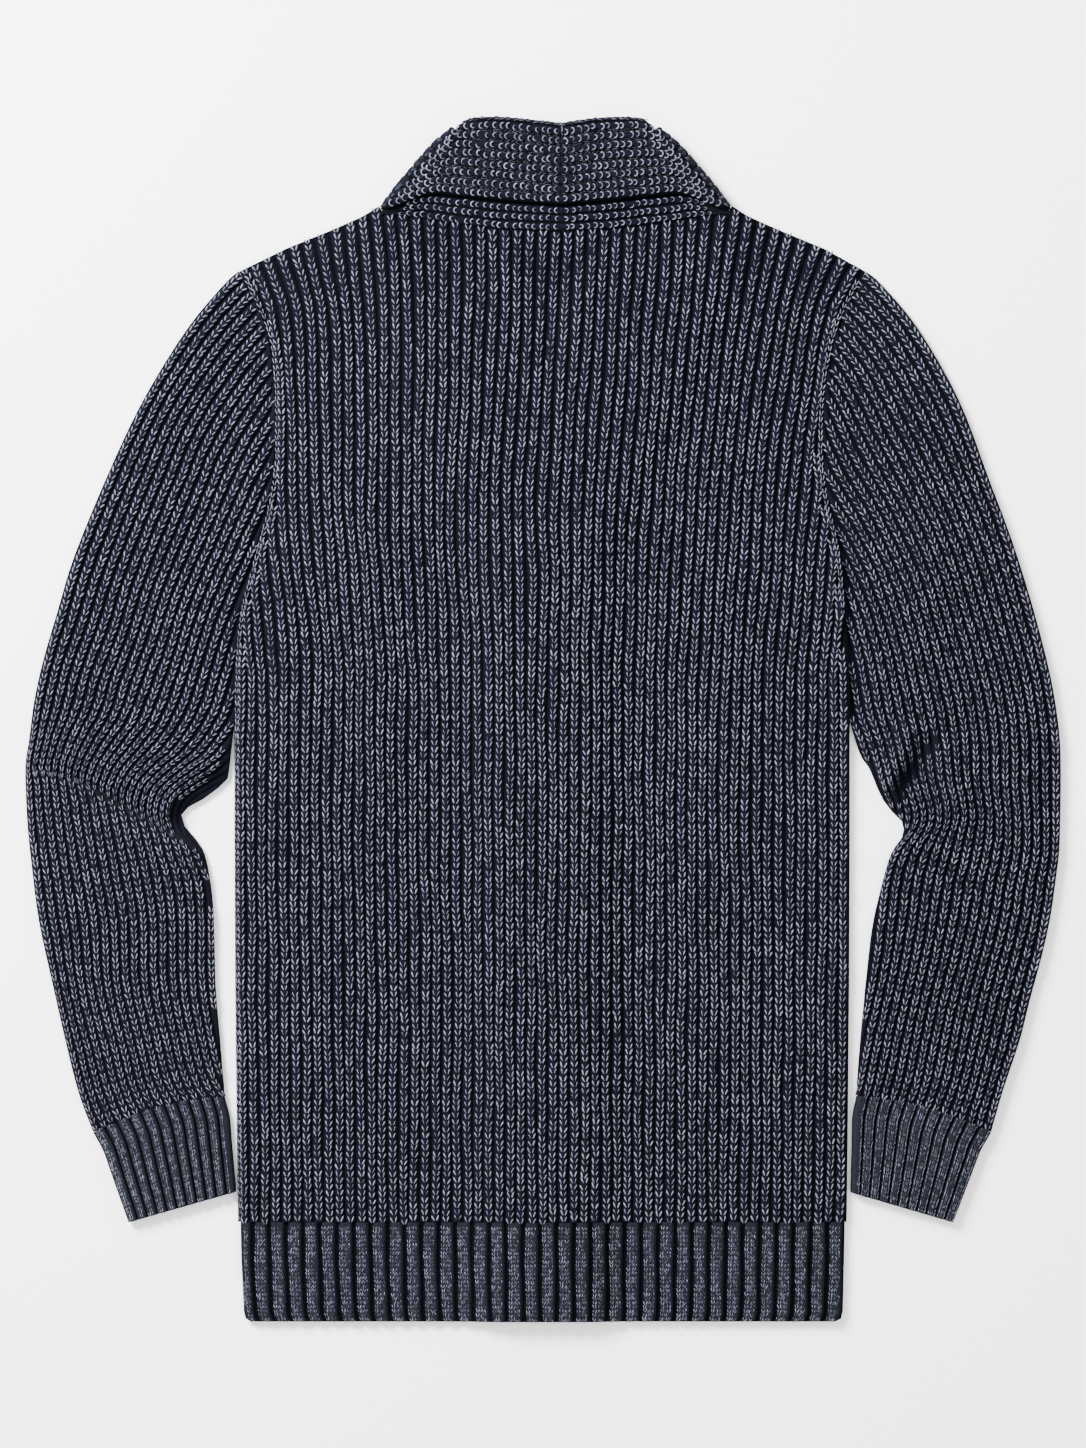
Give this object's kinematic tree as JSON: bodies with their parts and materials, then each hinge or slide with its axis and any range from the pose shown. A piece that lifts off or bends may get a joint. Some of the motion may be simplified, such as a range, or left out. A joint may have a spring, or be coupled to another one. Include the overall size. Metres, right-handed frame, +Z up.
{
  "type": "shawl collar cardigan",
  "caption": "Long-sleeved shawl-collar cardigan in chunky rib knit with a buttoned front, laid flat face down with its sleeves beside the body.",
  "frame": {"origin": "centre of the garment's outline on the surface that it lies on", "axes": "+X to the side of the garment's right sleeve as seen from above, +Y from the hem to the collar, +Z up out of the back"},
  "size_m": [0.7044, 0.8188, 0.0133],
  "materials": {
    "body_knit": "heavy half-cardigan rib in washed navy and slate wool melange, matt",
    "rib_knit": "ribbed trim in the same washed navy and slate wool melange, matt",
    "button_horn": "dark horn-like button, satin"
  },
  "bodies": {
    "root": {"back": "body_knit", "front_left": "body_knit", "front_right": "body_knit", "sleeve_left": "body_knit", "sleeve_right": "body_knit", "hem_back": "rib_knit", "hem_front_left": "rib_knit", "hem_front_right": "rib_knit", "cuff_left": "rib_knit", "cuff_right": "rib_knit", "band_left": "rib_knit", "band_right": "rib_knit", "collar_left": "rib_knit", "collar_right": "rib_knit", "button_1": "button_horn", "button_2": "button_horn", "button_3": "button_horn", "button_4": "button_horn", "button_5": "button_horn"}
  },
  "joints": []
}
